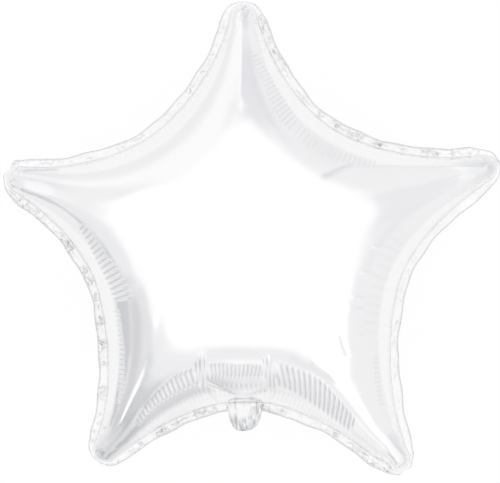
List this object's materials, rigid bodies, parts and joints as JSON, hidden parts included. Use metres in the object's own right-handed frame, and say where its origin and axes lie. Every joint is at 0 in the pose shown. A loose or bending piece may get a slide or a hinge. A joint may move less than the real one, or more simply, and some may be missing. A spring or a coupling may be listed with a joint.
{
  "type": "star foil balloon",
  "caption": "Inflated star of white metallised film, welded round the edge, pleated in the valleys, with a short filling neck between two points.",
  "frame": {"origin": "middle of the small flat spot on the crown of the back panel, on which the balloon rests", "axes": "+Z from the back panel to the front panel, across the thickness; +Y towards the top point, away from the filling neck; +X to the right as the front is seen with +Y up"},
  "size_m": [0.4505, 0.4294, 0.1751],
  "materials": {
    "metallised_film": "white metallised film, glossy, with a soft mirror sheen"
  },
  "bodies": {
    "root": {"star_balloon": "metallised_film"}
  },
  "joints": []
}
